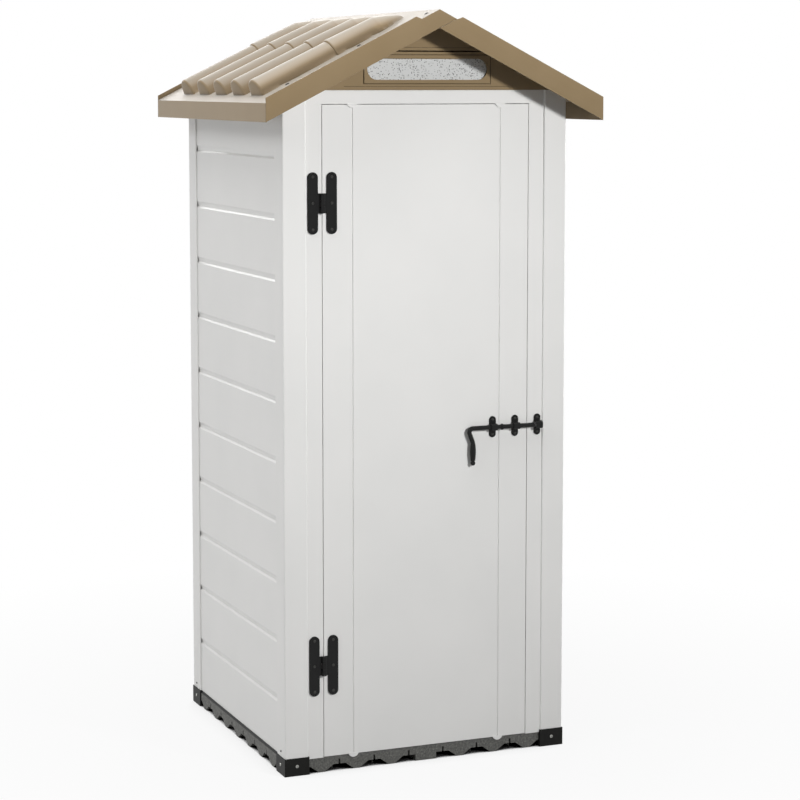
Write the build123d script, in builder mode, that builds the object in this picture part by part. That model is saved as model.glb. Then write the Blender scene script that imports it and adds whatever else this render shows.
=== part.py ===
from build123d import *
from math import atan, ceil, cos, sin
import os

os.makedirs("parts", exist_ok=True)

# Overall sizes, in millimetres. X runs along the front, Y towards the rear, Z up from the ground.
width = 814.0
depth = 818.0
front_overhang = 79.0
rear_overhang = 68.0
side_overhang = 69.0
roof_slope = 0.504
fit = 0.25

# Corner posts and the brackets at their feet
post_size = 65.5
post_wall = 2.5
post_corner = 4.0
slot_depth = 14.0
bracket_wall = 1.5
bracket_height = 48.0
rail_height = 13.0

# Wall boards
board_pitch = 160.0
board_count = 11
board_thickness = 20.0
board_recess = 4.0
board_skin = 1.2
board_bottom = 31.0
joint_gap = 0.1
cove_height = 14.0
cove_depth = 4.0
bevel_height = 5.0
tongue_height = 7.5
tongue_thickness = 7.0
board_web = 1.2
slot_entry = 13.5
base_rail_wall = 1.5

# Floor tiles
deck_top = 40.0
deck_thickness = 4.0
skirt_recess = 3.5
front_skirt_recess = 8.0
edge_beam = 30.0
rib = 4.0
cells_across = 3
cells_along = 7
foot_pitch = 100.0
foot_width = 16.0
gap_height = 18.0
gap_slope = 25.0
seam_foot = 30.0
skirt_slot_width = 5.0
skirt_slot_height = 13.0
seam_gap = 0.6

# Door frame and door
frame_recess = 4.0
jamb_width = 43.5
lintel_height = 36.0
door_gap = 2.0
door_top_gap = 1.5
door_thickness = 20.0
frame_depth = 30.0
frame_wall = 2.5
stop_width = 12.0
stop_gap = 1.5
side_panel_width = 82.0
panel_gap = 2.0
panel_skin = 1.6
panel_chamfer = 1.2
panel_webs = 4
spline_width = 16.0
spline_thickness = 6.0
joiner_web = 1.6
joiner_recess = 1.4
cap_width = 28.0
cap_drop = 9.0
cap_rise = 2.0
cap_thickness = 1.5

# Hinges
leaf_width = 28.0
leaf_height = 161.0
leaf_thickness = 3.5
leaf_spacing = 52.4
hinge_bar = 52.0
knuckle_radius = 6.5
pin_radius = 3.0
pin_offset = 7.0
running_fit = 0.05
knuckle_gap = 0.5
upper_hinge_drop = 254.0
lower_hinge_rise = 247.5

# Sliding bolt, drawn just clear of its keeper
bolt_rise = 858.0
bolt_standoff = 10.0
rod_radius = 6.0
staple_width = 19.0
staple_height = 57.5
staple_thickness = 2.5
staple_clearance = 0.3
staple_bend = 4.0
staple_pitch = 66.5
keeper_clearance = 1.5
keeper_inset = 29.0
tip_clearance = 2.5
tip_chamfer = 1.2
rod_length = 197.0
crank_run = 15.0
crank_drop = 40.0
elbow_radius = 10.0
crank_radius = 25.0
grip_radius = 7.8
grip_length = 48.0
neck_radius = 4.4
ball_radius = 6.5
ring_width = 4.0
ring_radius = 8.0
ring_groove = 0.5
bolt_throw = 30.0
ring_margin = 0.5

# Roof panels
sheet = 3.0
fascia_drop = 48.3
fascia = 3.0
rim = 13.6
rim_end = 65.7
rim_slant = 16.0
lap_step = 3.4
tile_rows = 5
tile_pitch = 150.0
tile_shift = -6.0
tile_shell = 3.0
barrel_axis_depth = 8.0
barrel_start = 41.0
barrel_height = 43.0
barrel_head_height = 36.0
barrel_edge = 3.0
course_run = 278.0
course_lap = 8.0
cover_height = 41.0
shoulder_run = 116.0
shoulder_height = 33.5
bend_run = 78.0
bend_height = 22.0
nose_run = 38.0
nose_height = 6.0
ridge_setback = 18.0

# Gables
gable_depth = 36.0
gable_wall = 4.0
window_length = 341.0
window_height = 55.0
window_rise = 54.0
window_frame_length = 358.0
window_frame_height = 73.0
window_frame_rise = 1.5
window_groove = 2.5
window_groove_depth = 2.0
pane_margin = 4.0
pane_thickness = 3.0
vent_rise = 101.0
vent_height = 3.5
vent_length = 330.0
vent_line_rise = 110.5
foot_line_rise = 9.0
foot_line_length = 470.0
line_depth = 1.5

# Screw heads
bracket_screw = 4.6
hinge_screw = 4.0
staple_screw = 3.6
roof_screw = 6.0
post_screw = 3.0
head_rise = 2.0
head_sides = 12
bracket_screw_z = 26.0
post_screw_z = 62.0
hinge_screw_pitch = 68.5
roof_screw_slope = (105.0, 326.0)
roof_screw_inset = 22.0
ridge_screw_run = 21.0
ridge_screw_inset = 40.0

# Lines that follow from the sizes above
roof_depth = depth + front_overhang + rear_overhang
front_y = front_overhang - roof_depth / 2
rear_y = front_y + depth
half_width = width / 2
eave_half_width = half_width + side_overhang
bracket_size = post_size + 2 * (bracket_wall + fit)
post_inset = bracket_wall + fit
post_x = half_width - post_inset
post_inner_x = post_x - post_size
wall_x = post_x - board_recess
front_post_y = front_y + post_inset
rear_post_y = rear_y - post_inset
wall_y = rear_post_y - board_recess
face_y = front_post_y + frame_recess
slope_angle = atan(roof_slope)
sheet_rise = sheet / cos(slope_angle)
wall_top = board_bottom + board_count * board_pitch
lowest_edge = deck_top + base_rail_wall
lintel_top = wall_top + rail_height
lintel_bottom = lintel_top - lintel_height
ridge_height = lintel_top + fit + sheet_rise + roof_slope * post_x
eave_height = ridge_height - roof_slope * eave_half_width
slope_length = eave_half_width / cos(slope_angle)
lap_end = fascia_drop / (2 * roof_slope)
gable_top = ridge_height - roof_slope * (lap_end + sheet) - sheet_rise - lap_step - 3 * fit
frame_half_width = post_inner_x - fit
door_half_width = frame_half_width - jamb_width - door_gap
door_bottom = deck_top + door_gap
door_top = lintel_bottom - door_top_gap
upper_hinge_z = door_top - upper_hinge_drop
lower_hinge_z = door_bottom + lower_hinge_rise
bolt_z = door_bottom + bolt_rise
keeper_x = door_half_width + door_gap + keeper_inset
window_z = lintel_top + window_rise
vent_z = lintel_top + vent_rise
vent_line_z = lintel_top + vent_line_rise
foot_line_z = lintel_top + foot_line_rise
roof_front_y = -roof_depth / 2
pin_x = -door_half_width - door_gap / 2
pin_y = face_y - pin_offset
bolt_y = face_y - bolt_standoff
joiner_x = door_half_width - side_panel_width - panel_gap / 2


def roof_top(x):
    return ridge_height - roof_slope * abs(x)


def roof_under(x):
    return roof_top(x) - sheet_rise


def fascia_bottom(x):
    return ridge_height - fascia_drop - roof_slope * abs(x)


def save(builder, name):
    builder.part.label = name
    export_step(builder.part, f"parts/{name}.step")


# Floor tiles: flat deck, ribbed underneath, lobed skirt with a slot over each gap
def skirt_gap_points(centre, seam_side=0):
    low = foot_pitch / 2 - foot_width / 2
    high = low - gap_slope
    points = [(centre - low, 0), (centre - high, gap_height), (centre + high, gap_height), (centre + low, 0)]
    if seam_side:
        end = centre + seam_side * (foot_pitch / 2 - seam_foot)
        kept = [p for p in points if (p[0] - centre) * seam_side < 0]
        extra = [(end, 0), (end, gap_height)] if seam_side < 0 else [(end, gap_height), (end, 0)]
        points = extra + kept if seam_side < 0 else kept + extra
    return points


def skirt_gap(plane, centre, seam_side=0):
    with BuildSketch(plane) as gap:
        with BuildLine():
            Polyline(*skirt_gap_points(centre, seam_side), close=True)
        make_face()
        with Locations((centre, gap_height + skirt_slot_height / 2)):
            Rectangle(skirt_slot_width, skirt_slot_height)
    return gap.sketch


def floor_tile(side):
    outer_x = half_width - skirt_recess
    front = front_y + front_skirt_recess
    rear = rear_y - skirt_recess
    tile_width_x = outer_x - seam_gap / 2
    centre_x = side * (outer_x + seam_gap / 2) / 2
    centre_y = (front + rear) / 2
    cell_x = (tile_width_x - 2 * edge_beam - (cells_across - 1) * rib) / cells_across
    cell_y = (rear - front - 2 * edge_beam - (cells_along - 1) * rib) / cells_along
    with BuildPart() as tile:
        with BuildSketch():
            with Locations((centre_x, centre_y)):
                Rectangle(tile_width_x, rear - front)
        extrude(amount=deck_top)
        # ribbed underside
        with BuildSketch():
            with Locations((centre_x, centre_y)):
                with GridLocations(cell_x + rib, cell_y + rib, cells_across, cells_along):
                    Rectangle(cell_x, cell_y)
        extrude(amount=deck_top - deck_thickness, mode=Mode.SUBTRACT)
        # corner notches for the brackets
        with BuildSketch():
            for corner_y in (front_y + bracket_size / 2, rear_y - bracket_size / 2):
                with Locations((side * (half_width - bracket_size / 2), corner_y)):
                    Rectangle(bracket_size + 2 * fit, bracket_size + 2 * fit)
        extrude(amount=deck_top, mode=Mode.SUBTRACT)
        # lobed skirt on the three outer edges
        skirt_count = ceil((half_width - bracket_size - foot_width / 2) / foot_pitch)
        front_plane = Plane(origin=(0, front, 0), x_dir=(1, 0, 0), z_dir=(0, -1, 0))
        rear_plane = Plane(origin=(0, rear, 0), x_dir=(-1, 0, 0), z_dir=(0, 1, 0))
        side_plane = Plane(origin=(side * outer_x, front_y + depth / 2, 0), x_dir=(0, side, 0), z_dir=(side, 0, 0))
        for index in range(skirt_count):
            centre = (index + 0.5) * foot_pitch
            for plane, sign in ((front_plane, side), (rear_plane, -side)):
                gap = skirt_gap(plane, sign * centre, -sign if index == 0 else 0)
                extrude(gap, amount=-edge_beam, mode=Mode.SUBTRACT)
            for sign in (-1, 1):
                extrude(skirt_gap(side_plane, sign * centre), amount=-edge_beam, mode=Mode.SUBTRACT)
    return tile


save(floor_tile(-1), "floor_tile_left")
save(floor_tile(1), "floor_tile_right")


# Corner brackets: black cups that hold the feet of the posts
def corner_bracket(side_x, side_y):
    centre = (side_x * (half_width - bracket_size / 2), front_y + depth / 2 + side_y * (depth - bracket_size) / 2)
    with BuildPart() as bracket:
        with BuildSketch():
            with Locations(centre):
                Rectangle(bracket_size, bracket_size)
        extrude(amount=bracket_height)
        with BuildSketch(Plane.XY.offset(bracket_wall)):
            with Locations(centre):
                RectangleRounded(post_size + 2 * fit, post_size + 2 * fit, post_corner)
        extrude(amount=bracket_height, mode=Mode.SUBTRACT)
        # open towards the walls, so that the lowest boards pass into the post
        inner = bracket_size / 2 - bracket_wall
        open_y = board_recess + board_thickness / 2 + post_inset
        with BuildSketch(Plane.XY.offset(lowest_edge - fit)):
            with Locations((side_x * (half_width - open_y), centre[1] - side_y * inner)):
                Rectangle(board_thickness + 2 * fit, 4 * bracket_wall)
            if side_y > 0:
                with Locations((centre[0] - side_x * inner, rear_y - open_y)):
                    Rectangle(4 * bracket_wall, board_thickness + 2 * fit)
        extrude(amount=bracket_height, mode=Mode.SUBTRACT)
        # the front brackets also clear the foot of the door jamb
        if side_y < 0:
            with BuildSketch(Plane.XY.offset(deck_top - fit)):
                with Locations((centre[0] - side_x * inner, face_y + frame_depth / 2)):
                    Rectangle(4 * bracket_wall, frame_depth + 2 * fit)
            extrude(amount=bracket_height, mode=Mode.SUBTRACT)
    return bracket


# Corner posts: hollow extrusions with a channel for each wall that runs into them
def corner_post(side_x, side_y):
    centre = (side_x * (post_x - post_size / 2), front_y + depth / 2 + side_y * (depth / 2 - post_inset - post_size / 2))
    channel = board_recess + board_thickness / 2
    with BuildPart() as post:
        with BuildSketch(Plane.XY.offset(bracket_wall + fit)):
            with Locations(centre):
                RectangleRounded(post_size, post_size, post_corner)
            with Locations((side_x * (post_x - channel), centre[1] - side_y * (post_size - slot_depth) / 2)):
                Rectangle(board_thickness + 2 * fit, slot_depth, mode=Mode.SUBTRACT)
            if side_y > 0:
                with Locations((centre[0] - side_x * (post_size - slot_depth) / 2, rear_post_y - channel)):
                    Rectangle(slot_depth, board_thickness + 2 * fit, mode=Mode.SUBTRACT)
            offset(amount=-post_wall, kind=Kind.INTERSECTION, mode=Mode.SUBTRACT)
        extrude(amount=lintel_top - bracket_wall - fit)
    return post


corners = {"front_left": (-1, -1), "front_right": (1, -1), "rear_left": (-1, 1), "rear_right": (1, 1)}
for corner, signs in corners.items():
    save(corner_bracket(*signs), f"bracket_{corner}")
    save(corner_post(*signs), f"post_{corner}")


# Wall boards: hollow, tongue on top, groove below, coved lower edge and bevelled upper edge
def board_section(plane):
    height = board_pitch - joint_gap
    middle = -board_thickness / 2
    half_tongue = tongue_thickness / 2
    half_groove = half_tongue + fit
    radius = (cove_height**2 + cove_depth**2) / (2 * cove_depth)
    low = cove_height + board_skin
    high = height - bevel_height - board_skin
    cell = (high - low - board_web) / 2
    with BuildSketch(plane) as section:
        with BuildLine():
            RadiusArc((-cove_depth, 0), (0, cove_height), radius)
            Polyline(
                (0, cove_height),
                (0, height - bevel_height),
                (-cove_depth, height),
                (middle + half_tongue, height),
                (middle + half_tongue, height + tongue_height),
                (middle - half_tongue, height + tongue_height),
                (middle - half_tongue, height),
                (-board_thickness, height),
                (-board_thickness, 0),
                (middle - half_groove, 0),
                (middle - half_groove, tongue_height + fit),
                (middle + half_groove, tongue_height + fit),
                (middle + half_groove, 0),
                (-cove_depth, 0),
            )
        make_face()
        with Locations((middle, low + cell / 2), (middle, high - cell / 2)):
            Rectangle(board_thickness - 2 * board_skin, cell, mode=Mode.SUBTRACT)
    return section.sketch


side_length = depth - 2 * (post_inset + post_size - slot_entry)
rear_length = width - 2 * (post_inset + post_size - slot_entry)
side_start = front_post_y + post_size - slot_entry
wall_planes = {
    "left": ((-wall_x, side_start), (-1, 0, 0), (0, 1, 0), side_length),
    "right": ((wall_x, side_start + side_length), (1, 0, 0), (0, -1, 0), side_length),
    "rear": ((-rear_length / 2, wall_y), (0, 1, 0), (1, 0, 0), rear_length),
}


def wall_plane(wall, height):
    origin, outward, along, length = wall_planes[wall]
    return Plane(origin=(*origin, height), x_dir=outward, z_dir=along), length


for row in range(board_count):
    plane, length = wall_plane("left", board_bottom + row * board_pitch)
    with BuildPart() as left_board:
        extrude(board_section(plane), amount=length)
        # the lowest board is cut down to stand in the base rail
        split(bisect_by=Plane.XY.offset(lowest_edge), keep=Keep.TOP)
    save(left_board, f"left_board_{row + 1:02d}")

for wall in ("right", "rear"):
    with BuildPart() as wall_boards:
        for row in range(board_count):
            plane, length = wall_plane(wall, board_bottom + row * board_pitch)
            extrude(board_section(plane), amount=length)
        split(bisect_by=Plane.XY.offset(lowest_edge), keep=Keep.TOP)
    save(wall_boards, f"{wall}_wall_boards")


# Base rails: black channels on the floor between the brackets, which hold the lowest boards
def base_rail(wall):
    plane, length = wall_plane(wall, deck_top)
    inset = post_inset + slot_entry + fit
    height = bracket_height - deck_top
    inner = board_thickness + 2 * fit
    with BuildSketch(plane.offset(inset)) as section:
        with Locations((-board_thickness / 2, height / 2)):
            Rectangle(inner + 2 * base_rail_wall, height)
        with Locations((-board_thickness / 2, height / 2 + base_rail_wall)):
            Rectangle(inner, height, mode=Mode.SUBTRACT)
    extrude(section.sketch, amount=length - 2 * inset)


with BuildPart() as side_rails:
    base_rail("left")
    base_rail("right")
save(side_rails, "side_base_rails")

with BuildPart() as rear_rail:
    base_rail("rear")
save(rear_rail, "rear_base_rail")


# Top rails: caps over the walls, sloped under the roof at the sides and flat under the rear gable
def rail_section(plane, outer_height, inner_height):
    middle = -board_thickness / 2
    half_groove = tongue_thickness / 2 + fit
    with BuildSketch(plane) as section:
        with BuildLine():
            Polyline(
                (0, 0),
                (0, outer_height),
                (-board_thickness, inner_height),
                (-board_thickness, 0),
                (middle - half_groove, 0),
                (middle - half_groove, tongue_height + fit),
                (middle + half_groove, tongue_height + fit),
                (middle + half_groove, 0),
                close=True,
            )
        make_face()
    return section.sketch


for wall in ("left", "right", "rear"):
    plane, length = wall_plane(wall, wall_top)
    outer_height = roof_under(wall_x) - fit - wall_top
    inner_height = roof_under(wall_x - board_thickness) - fit - wall_top
    if wall == "rear":
        outer_height = lintel_top - wall_top
        inner_height = outer_height
    with BuildPart() as top_rail:
        extrude(rail_section(plane, outer_height, inner_height), amount=length)
    save(top_rail, f"{wall}_top_rail")

# Lintel: hollow bar between the front posts, with a stop behind the door's top edge
stop_y = door_thickness + stop_gap
with BuildPart() as lintel:
    with BuildSketch(Plane.YZ.offset(-frame_half_width)):
        with Locations((face_y + frame_depth / 2, (lintel_top + lintel_bottom) / 2)):
            Rectangle(frame_depth, lintel_top - lintel_bottom)
        offset(amount=-frame_wall, kind=Kind.INTERSECTION, mode=Mode.SUBTRACT)
    extrude(amount=2 * frame_half_width)
    stop_depth = frame_depth - stop_y
    with BuildSketch(Plane.XY.offset(lintel_bottom)):
        with Locations((0, face_y + stop_y + stop_depth / 2)):
            Rectangle(2 * (door_half_width + door_gap), stop_depth)
    extrude(amount=-stop_width)
save(lintel, "lintel")


# Jambs: hollow uprights beside the door, each with a stop behind the door's edge
def jamb(side):
    inner = door_half_width + door_gap
    with BuildPart() as upright:
        with BuildSketch(Plane.XY.offset(deck_top)):
            with Locations((side * (inner + frame_half_width) / 2, face_y + frame_depth / 2)):
                Rectangle(frame_half_width - inner, frame_depth)
            offset(amount=-frame_wall, kind=Kind.INTERSECTION, mode=Mode.SUBTRACT)
        extrude(amount=lintel_bottom - deck_top)
        with BuildSketch(Plane.XY.offset(deck_top)):
            with Locations((side * (inner - stop_width / 2), face_y + (stop_y + frame_depth) / 2)):
                Rectangle(stop_width, frame_depth - stop_y)
        extrude(amount=lintel_bottom - stop_width - deck_top - fit)
    return upright


save(jamb(-1), "left_jamb")
save(jamb(1), "right_jamb")


# Gables: moulded shells under the roof ends, with a long window, a raised frame and a vent slit
def gable_outline(plane, inset=0.0):
    low = lintel_top + inset
    shift = fit + inset / cos(slope_angle)
    foot = (ridge_height - sheet_rise - shift - low) / roof_slope
    top = gable_top - inset
    head = (ridge_height - sheet_rise - shift - top) / roof_slope
    with BuildSketch(plane) as outline:
        with BuildLine():
            Polyline((-foot, low), (foot, low), (head, top), (-head, top), close=True)
        make_face()
    return outline.sketch


def gable(outer_y, outward):
    face = Plane(origin=(0, outer_y, 0), x_dir=(-outward, 0, 0), z_dir=(0, outward, 0))
    with BuildPart() as shell:
        extrude(gable_outline(face), amount=-gable_depth)
        extrude(gable_outline(face.offset(-gable_wall), gable_wall), amount=-gable_depth, mode=Mode.SUBTRACT)
        with BuildSketch(face):
            with Locations((0, window_z)):
                Rectangle(window_frame_length, window_frame_height)
        extrude(amount=window_frame_rise)
        with BuildSketch(face.offset(window_frame_rise)):
            with Locations((0, window_z)):
                SlotOverall(window_length, window_height)
            with Locations((0, vent_z)):
                Rectangle(vent_length, vent_height)
        extrude(amount=-gable_wall - window_frame_rise, mode=Mode.SUBTRACT)
        # groove round the frame, and fine lines above the vent and along the foot
        with BuildSketch(face):
            with Locations((0, window_z)):
                Rectangle(window_frame_length + 2 * window_groove, window_frame_height + 2 * window_groove)
                Rectangle(window_frame_length, window_frame_height, mode=Mode.SUBTRACT)
        extrude(amount=-window_groove_depth, mode=Mode.SUBTRACT)
        with BuildSketch(face):
            with Locations((0, vent_line_z)):
                Rectangle(vent_length, line_depth)
            with Locations((0, foot_line_z)):
                Rectangle(foot_line_length, line_depth)
        extrude(amount=-line_depth, mode=Mode.SUBTRACT)
    return shell


def pane(outer_y, outward):
    back = Plane(origin=(0, outer_y - outward * gable_wall, 0), x_dir=(-outward, 0, 0), z_dir=(0, outward, 0))
    with BuildPart() as window:
        with BuildSketch(back):
            with Locations((0, window_z)):
                SlotOverall(window_length + 2 * pane_margin, window_height + 2 * pane_margin)
        extrude(amount=-pane_thickness)
    return window


for end, outer_y, outward in (("front", front_post_y, -1), ("rear", rear_post_y, 1)):
    save(gable(outer_y, outward), f"{end}_gable")
    save(pane(outer_y, outward), f"{end}_window_pane")


# Roof panels: a sheet with barrel tiles in two courses, deep fascias and a raised rim at front and rear
def slope_plane(side, distance, y):
    up_x = -side * cos(slope_angle)
    origin = (side * eave_half_width + up_x * distance, y, eave_height + sin(slope_angle) * distance)
    return Plane(origin=origin, x_dir=(0, -side, 0), z_dir=(up_x, 0, sin(slope_angle)))


course_start = slope_length - course_run
lower_course = [
    (barrel_start, barrel_height - barrel_edge),
    (barrel_start + barrel_edge, barrel_height),
    (course_start + course_lap, barrel_head_height),
]
upper_course = [
    (course_start, cover_height - barrel_edge),
    (course_start + barrel_edge, cover_height),
    (slope_length - shoulder_run, shoulder_height),
    (slope_length - bend_run, bend_height),
    (slope_length - nose_run, nose_height),
]


def barrel(side, course, setback, shell=0.0):
    # One barrel tile, turned about a line under the sheet; with a shell it is the hollow inside it.
    section = slope_plane(side, 0, 0)
    up_slope = section.z_dir
    cut_depth = 2 * sheet if shell else sheet / 2
    profile = course[:2] + [(distance - setback, height) for distance, height in course[2:]]
    if shell:
        (low, low_height), (high, high_height) = profile[1:3]
        profile = [(low + shell, low_height - shell), (high - shell, high_height - shell)]
    with BuildPart() as turned:
        with BuildSketch(Plane(origin=section.origin, x_dir=up_slope, z_dir=section.x_dir * -1)):
            with BuildLine():
                Polyline(
                    (profile[0][0], -barrel_axis_depth),
                    *profile,
                    (profile[-1][0], -barrel_axis_depth),
                    close=True,
                )
            make_face()
        axis_point = section.origin - section.y_dir * barrel_axis_depth
        revolve(axis=Axis(axis_point, up_slope))
        split(
            bisect_by=Plane(origin=section.origin - section.y_dir * cut_depth, x_dir=up_slope, z_dir=section.y_dir),
            keep=Keep.TOP,
        )
    return turned.part


def fascia_points(side):
    # Outline of a fascia seen from the front; the left panel's runs over the ridge and laps the right one's.
    eave = side * eave_half_width
    rim_foot = side * (rim_end - rim_slant)
    lap = lap_end
    outer = [
        (eave, fascia_bottom(eave)),
        (eave, roof_top(eave) + rim),
        (side * rim_end, roof_top(rim_end) + rim),
        (rim_foot, roof_top(rim_foot)),
    ]
    if side < 0:
        return outer + [(0, ridge_height), (lap, ridge_height - roof_slope * lap)]
    lap += fit
    return outer + [(lap, ridge_height - roof_slope * lap - fit), (fit, fascia_bottom(fit))]


def sheet_points(side):
    # Cross-section of the sheet with its eave fascia and its part of the ridge lap.
    eave = side * eave_half_width
    inner = side * (eave_half_width - fascia)
    lap = lap_end
    start = [(eave, fascia_bottom(eave)), (eave, roof_top(eave))]
    end = [(inner, roof_under(inner)), (inner, fascia_bottom(inner))]
    if side < 0:
        ridge = [(0, ridge_height), (lap, roof_top(lap)), (lap, roof_under(lap)), (0, roof_under(0))]
        return start + ridge + end
    step = lap + fit
    ridge = [
        (step, roof_top(step)),
        (step, roof_under(step) - fit),
        (fit, roof_under(fit) - fit),
        (fit, roof_under(fit) - lap_step - fit),
        (step + sheet, roof_under(step + sheet) - lap_step - fit),
        (step + sheet, roof_under(step + sheet)),
    ]
    return start + ridge + end


def roof_panel(side):
    front_plane = Plane(origin=(0, roof_front_y, 0), x_dir=(1, 0, 0), z_dir=(0, -1, 0))
    with BuildPart() as panel:
        with BuildSketch(front_plane):
            with BuildLine():
                Polyline(*sheet_points(side), close=True)
            make_face()
        extrude(amount=-roof_depth)
        # the lap of the sheets stops behind the fascias, which meet each other edge to edge
        for y in (roof_front_y, -roof_front_y):
            with BuildSketch(Plane.XY.offset(ridge_height)):
                with Locations(((lap_end + fit) / 2, y)):
                    Rectangle(lap_end + fit, 2 * (fascia + fit))
            extrude(amount=-fascia_drop, mode=Mode.SUBTRACT)
        for plane, inward in ((front_plane, -fascia), (front_plane.offset(-roof_depth), fascia)):
            with BuildSketch(plane):
                with BuildLine():
                    Polyline(*fascia_points(side), close=True)
                make_face()
            extrude(amount=inward)
        rows = [(0, tile_shift + (row - (tile_rows - 1) / 2) * tile_pitch, 0) for row in range(tile_rows)]
        upper_setback = ridge_setback if side > 0 else 0
        for shell, mode in ((0.0, Mode.ADD), (tile_shell, Mode.SUBTRACT)):
            for course, setback in ((lower_course, 0), (upper_course, upper_setback)):
                with Locations(*rows):
                    add(barrel(side, course, setback, shell), mode=mode)
    return panel


save(roof_panel(-1), "roof_panel_left")
save(roof_panel(1), "roof_panel_right")


# Door panels: three hollow uprights with a chamfer along each joint and a groove for the joining strip
def door_panel(low_x, high_x, low_joint, high_joint):
    middle_y = face_y + door_thickness / 2
    with BuildPart() as panel:
        with BuildSketch(Plane.XY.offset(door_bottom)) as section:
            with Locations(((low_x + high_x) / 2, middle_y)):
                Rectangle(high_x - low_x, door_thickness)
            front_corners = section.vertices().group_by(Axis.Y)[0].sort_by(Axis.X)
            if low_joint and high_joint:
                chamfer(front_corners, panel_chamfer)
            elif low_joint:
                chamfer(front_corners[0], panel_chamfer)
            else:
                chamfer(front_corners[-1], panel_chamfer)
            for joint, edge, inward in ((low_joint, low_x, 1), (high_joint, high_x, -1)):
                if joint:
                    half_spline = (spline_width - panel_gap) / 2 + fit
                    with Locations((edge + inward * half_spline / 2, middle_y)):
                        Rectangle(half_spline, spline_thickness + 2 * fit, mode=Mode.SUBTRACT)
        extrude(amount=door_top - door_bottom)
        # hollow cells between upright webs, closed at top and bottom
        low_cell = low_x + (spline_width if low_joint else panel_skin)
        high_cell = high_x - (spline_width if high_joint else panel_skin)
        webs = panel_webs if low_joint and high_joint else 0
        cell = (high_cell - low_cell - webs * panel_skin) / (webs + 1)
        with BuildSketch(Plane.XY.offset(door_bottom + panel_skin)):
            with Locations(((low_cell + high_cell) / 2, middle_y)):
                with GridLocations(cell + panel_skin, 1, webs + 1, 1):
                    Rectangle(cell, door_thickness - 2 * panel_skin)
        extrude(amount=door_top - door_bottom - 2 * panel_skin, mode=Mode.SUBTRACT)
    return panel


centre_edge = joiner_x - panel_gap / 2
side_edge = joiner_x + panel_gap / 2
save(door_panel(-door_half_width, -side_edge, False, True), "door_left_panel")
save(door_panel(-centre_edge, centre_edge, True, True), "door_centre_panel")
save(door_panel(side_edge, door_half_width, True, False), "door_right_panel")


# Joining strips: a spline between two door panels, ending in a half-round cap at top and bottom
def door_joiner(x):
    middle_y = face_y + door_thickness / 2
    web_depth = door_thickness / 2 - joiner_recess
    front = Plane(origin=(0, face_y - fit / 2, 0), x_dir=(1, 0, 0), z_dir=(0, -1, 0))
    cap_radius = (cap_drop**2 + (cap_width / 2) ** 2) / (2 * cap_drop)
    with BuildPart() as joiner:
        with BuildSketch(Plane.XY.offset(door_bottom)):
            with Locations((x, middle_y)):
                Rectangle(spline_width, spline_thickness)
            with Locations((x, middle_y - web_depth / 2)):
                Rectangle(joiner_web, web_depth)
        extrude(amount=door_top - door_bottom)
        for end in (door_bottom, door_top):
            with BuildSketch(front):
                with BuildLine():
                    RadiusArc((x + cap_width / 2, end), (x - cap_width / 2, end), cap_radius)
                    Polyline(
                        (x - cap_width / 2, end),
                        (x - cap_width / 2, end + cap_rise),
                        (x + cap_width / 2, end + cap_rise),
                        (x + cap_width / 2, end),
                    )
                make_face()
            extrude(amount=cap_thickness)
            neck_low = max(end - cap_drop, door_bottom)
            neck_high = min(end + cap_rise, door_top)
            with BuildSketch(front):
                with Locations((x, (neck_low + neck_high) / 2)):
                    Rectangle(joiner_web, neck_high - neck_low)
            extrude(amount=-2 * joiner_recess)
    return joiner


save(door_joiner(-joiner_x), "door_left_joiner")
save(door_joiner(joiner_x), "door_right_joiner")


# Hinges: H-shaped, each leaf a rounded plate with a tab in the middle that carries its knuckles round the pin
def hinge_leaf(side, height, knuckles):
    centre_x = pin_x + side * leaf_spacing / 2
    front = Plane(origin=(0, face_y, 0), x_dir=(1, 0, 0), z_dir=(0, -1, 0))
    with BuildPart() as leaf:
        with BuildSketch(front):
            with Locations((centre_x, height)):
                SlotOverall(leaf_height, leaf_width, rotation=90)
        extrude(amount=leaf_thickness)
        # the tab reaches from the plate to just short of the other leaf's knuckles
        tab = leaf_spacing / 2 - knuckle_radius - knuckle_gap
        with BuildSketch(front):
            with Locations((centre_x - side * tab / 2, height)):
                Rectangle(tab, hinge_bar - knuckle_gap)
        extrude(amount=leaf_thickness)
        knuckle = hinge_bar / 3 - knuckle_gap
        for level in knuckles:
            base = height + level * hinge_bar / 3 - knuckle / 2
            with BuildSketch(Plane.XY.offset(base)):
                with Locations((pin_x, pin_y)):
                    Circle(knuckle_radius)
                with Locations(((pin_x + centre_x) / 2, face_y - leaf_thickness / 2)):
                    Rectangle(leaf_spacing / 2, leaf_thickness)
                with Locations((pin_x, pin_y)):
                    Circle(pin_radius + running_fit, mode=Mode.SUBTRACT)
            extrude(amount=knuckle)
    return leaf


def hinge_pin(height):
    with BuildPart() as pin:
        with BuildSketch(Plane.XY.offset(height - hinge_bar / 2)):
            with Locations((pin_x, pin_y)):
                Circle(pin_radius)
        extrude(amount=hinge_bar)
    return pin


for name, height in (("upper_hinge", upper_hinge_z), ("lower_hinge", lower_hinge_z)):
    save(hinge_leaf(-1, height, (-1, 1)), f"{name}_frame_leaf")
    save(hinge_leaf(1, height, (0,)), f"{name}_door_leaf")
    save(hinge_pin(height), f"{name}_pin")


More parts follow.
